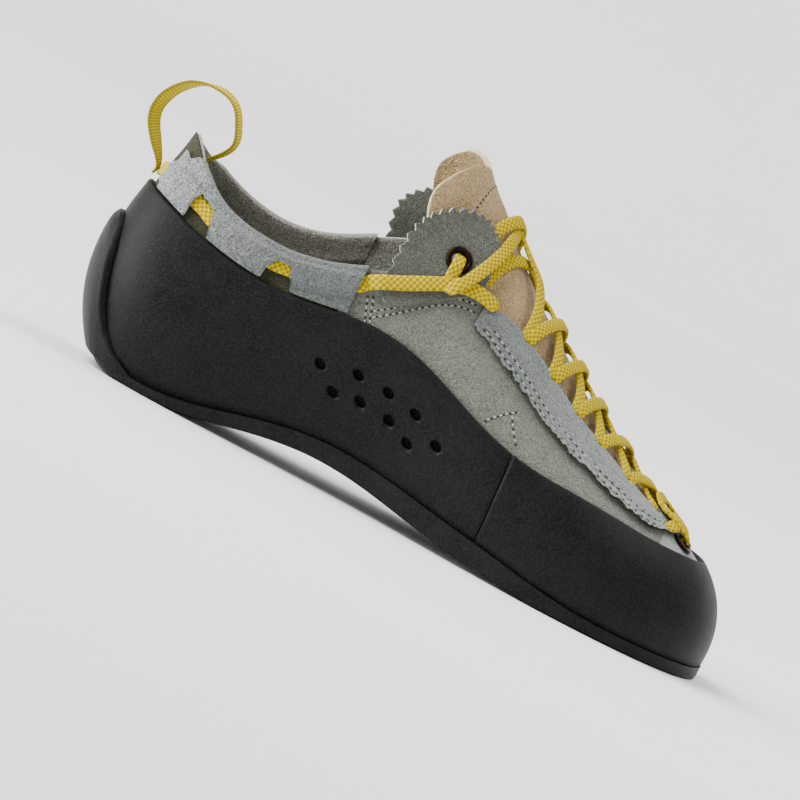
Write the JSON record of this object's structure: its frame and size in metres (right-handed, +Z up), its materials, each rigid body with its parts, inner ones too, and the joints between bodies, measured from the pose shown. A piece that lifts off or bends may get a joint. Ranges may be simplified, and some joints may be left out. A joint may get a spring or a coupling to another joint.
{
  "type": "climbing shoe",
  "caption": "Lace-up rock climbing shoe for the right foot: suede upper, rubber rand and sole, tongue and pull loop.",
  "frame": {"origin": "centre of the flat spot under the heel, on the floor's plane", "axes": "+X towards the toe, +Y towards the inner side of the right foot, +Z up"},
  "size_m": [0.2536, 0.0857, 0.123],
  "materials": {
    "sole_rubber": "matt, ground at the edge",
    "rand_rubber": "matt, fine grain",
    "quarter_suede": "suede",
    "eyestay_suede": "suede",
    "ear_suede": "suede, pinked edge",
    "cuff_suede": "suede",
    "tongue_leather": "undyed suede",
    "insole_leather": "smooth",
    "lace_braid": "flat braid",
    "loop_tape": "woven tape",
    "eyelet_bronze": "blackened, rolled"
  },
  "bodies": {
    "root": {"outsole": "sole_rubber", "insole": "insole_leather", "upper": "quarter_suede", "rand_rear": "rand_rubber", "rand_toe": "rand_rubber", "cuff": "cuff_suede", "lace_ankle": "lace_braid", "tongue": "tongue_leather", "eyestay_outer": "eyestay_suede", "eyestay_inner": "eyestay_suede", "ear_outer": "ear_suede", "ear_inner": "ear_suede", "eyelet_top_outer": "eyelet_bronze", "eyelet_top_inner": "eyelet_bronze", "eyelet_toe_outer": "eyelet_bronze", "eyelet_toe_inner": "eyelet_bronze", "lacing": "lace_braid", "pull_loop": "loop_tape"}
  },
  "joints": []
}
